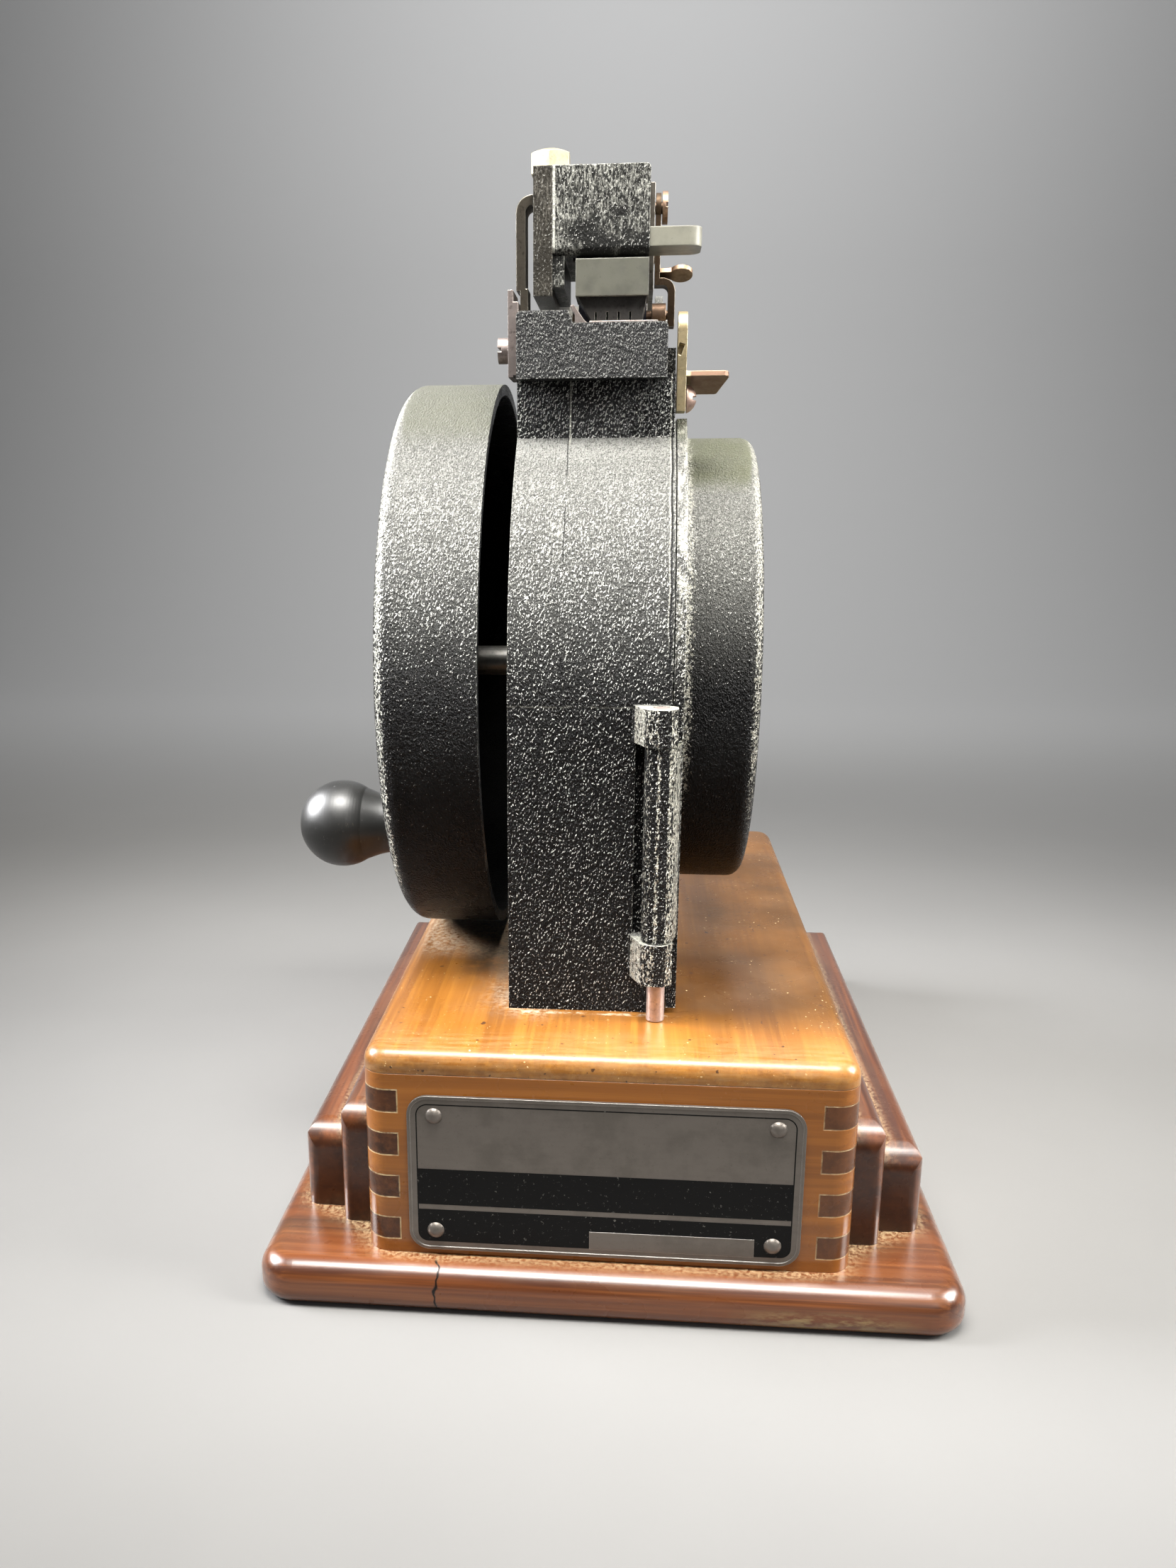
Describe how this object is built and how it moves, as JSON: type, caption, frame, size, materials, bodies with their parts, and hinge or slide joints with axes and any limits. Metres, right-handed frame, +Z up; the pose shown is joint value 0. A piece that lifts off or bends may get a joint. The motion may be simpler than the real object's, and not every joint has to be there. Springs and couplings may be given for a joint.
{
  "type": "price marking machine",
  "caption": "Hand-cranked tag marking machine: crank disc with knob, case with hinged roll door and pivoting print head, on a finger-jointed wooden box and stepped board.",
  "frame": {"origin": "under the middle of the bottom board, on the surface the machine stands on", "axes": "+Z up, +Y to the back, +X to the right seen from the front where the nameplate is"},
  "size_m": [0.1793, 0.242, 0.2841],
  "materials": {
    "mahogany": "varnished",
    "maple": "varnished",
    "walnut": "varnished",
    "crinkle": "wrinkle enamel",
    "worn_black": "worn enamel",
    "putty": "satin enamel",
    "steel": "satin",
    "dark_steel": "oxidised",
    "brass": "dull",
    "copper": "browned",
    "plate": "satin, printed black",
    "knob_black": "gloss",
    "rubber": "matte",
    "paper": "matte",
    "card": "matte",
    "felt": "matte"
  },
  "bodies": {
    "base": {"base_board": "mahogany", "box_front": "maple", "box_back": "maple", "box_side_left": "walnut", "box_side_right": "walnut", "box_lid": "maple", "rail_left_inner": "mahogany", "rail_left_outer": "mahogany", "rail_right_inner": "mahogany", "rail_right_outer": "mahogany", "nameplate": "plate", "nameplate_pins": "plate", "case_screws": "steel", "main_case": "crinkle", "shaft_bush": "brass", "mechanism_plate": "steel", "hinge_pin": "copper", "platform": "worn_black", "anvil_plate": "steel", "paper_guide": "steel", "side_plate": "steel", "side_plate_screw": "copper", "side_strap": "dark_steel", "head_pivot_pin": "steel", "lever_screw": "copper"},
    "crank": {"crank_disc": "crinkle", "drive_shaft": "steel", "crank_nut": "steel", "drive_gear": "brass", "lift_cam": "steel", "knob_spindle": "steel"},
    "knob": {"crank_knob": "knob_black"},
    "feed": {"feed_shaft": "steel", "feed_gear": "brass", "feed_roller": "rubber"},
    "lift": {"lift_rod": "steel"},
    "door": {"roll_door": "crinkle", "roll_spindle": "steel", "roll_flange": "steel"},
    "roll": {"tag_roll": "paper", "roll_core": "card"},
    "lever": {"release_lever": "brass"},
    "head": {"head_arm": "worn_black", "head_block": "worn_black", "head_bolt": "brass", "index_pin": "brass", "head_cheek": "dark_steel", "cheek_screw": "copper", "ink_pivot": "copper"},
    "type": {"type_holder": "putty", "type_slugs": "dark_steel", "holder_tab": "putty"},
    "ink": {"ink_arm": "copper", "ink_finger": "copper", "ink_spindle": "copper"},
    "inker": {"ink_roller": "felt"}
  },
  "joints": [
    {"name": "crank_turn", "type": "hinge", "parent": "base", "child": "crank", "pos_m": [-0.0345, -0.0025, 0.15], "axis": [1, 0, 0], "continuous": true},
    {"name": "knob_spin", "type": "hinge", "parent": "crank", "child": "knob", "pos_m": [-0.0765, -0.04493, 0.10757], "axis": [1, 0, 0], "continuous": true},
    {"name": "feed_turn", "type": "hinge", "parent": "base", "child": "feed", "pos_m": [0, -0.03577, 0.20537], "axis": [1, 0, 0], "continuous": true},
    {"name": "lift_slide", "type": "slide", "parent": "base", "child": "lift", "axis": [0, 0, 1], "range_m": [0, 0.0025]},
    {"name": "door_swing", "type": "hinge", "parent": "base", "child": "door", "pos_m": [0.0115, -0.0874, 0.1145], "axis": [0, 0, -1], "range_deg": [0, 105]},
    {"name": "roll_spin", "type": "hinge", "parent": "door", "child": "roll", "pos_m": [0, -0.0025, 0.15], "axis": [1, 0, 0], "continuous": true},
    {"name": "release_turn", "type": "hinge", "parent": "base", "child": "lever", "pos_m": [0.015, -0.047, 0.2232], "axis": [1, 0, 0], "range_deg": [0, 50]},
    {"name": "head_lift", "type": "hinge", "parent": "base", "child": "head", "pos_m": [-0.008, 0.036, 0.2525], "axis": [-1, 0, 0], "range_deg": [0, 12]},
    {"name": "holder_slide", "type": "slide", "parent": "head", "child": "type", "axis": [1, 0, 0], "range_m": [0, 0.008]},
    {"name": "ink_swing", "type": "hinge", "parent": "head", "child": "ink", "pos_m": [0.0085, -0.028, 0.2725], "axis": [1, 0, 0], "range_deg": [0, 20]},
    {"name": "ink_spin", "type": "hinge", "parent": "ink", "child": "inker", "pos_m": [-0.0035, -0.028, 0.2461], "axis": [1, 0, 0], "continuous": true}
  ],
  "couplings": [
    {"joint": "feed_turn", "follows": "crank_turn", "ratio": -5.1429}
  ]
}
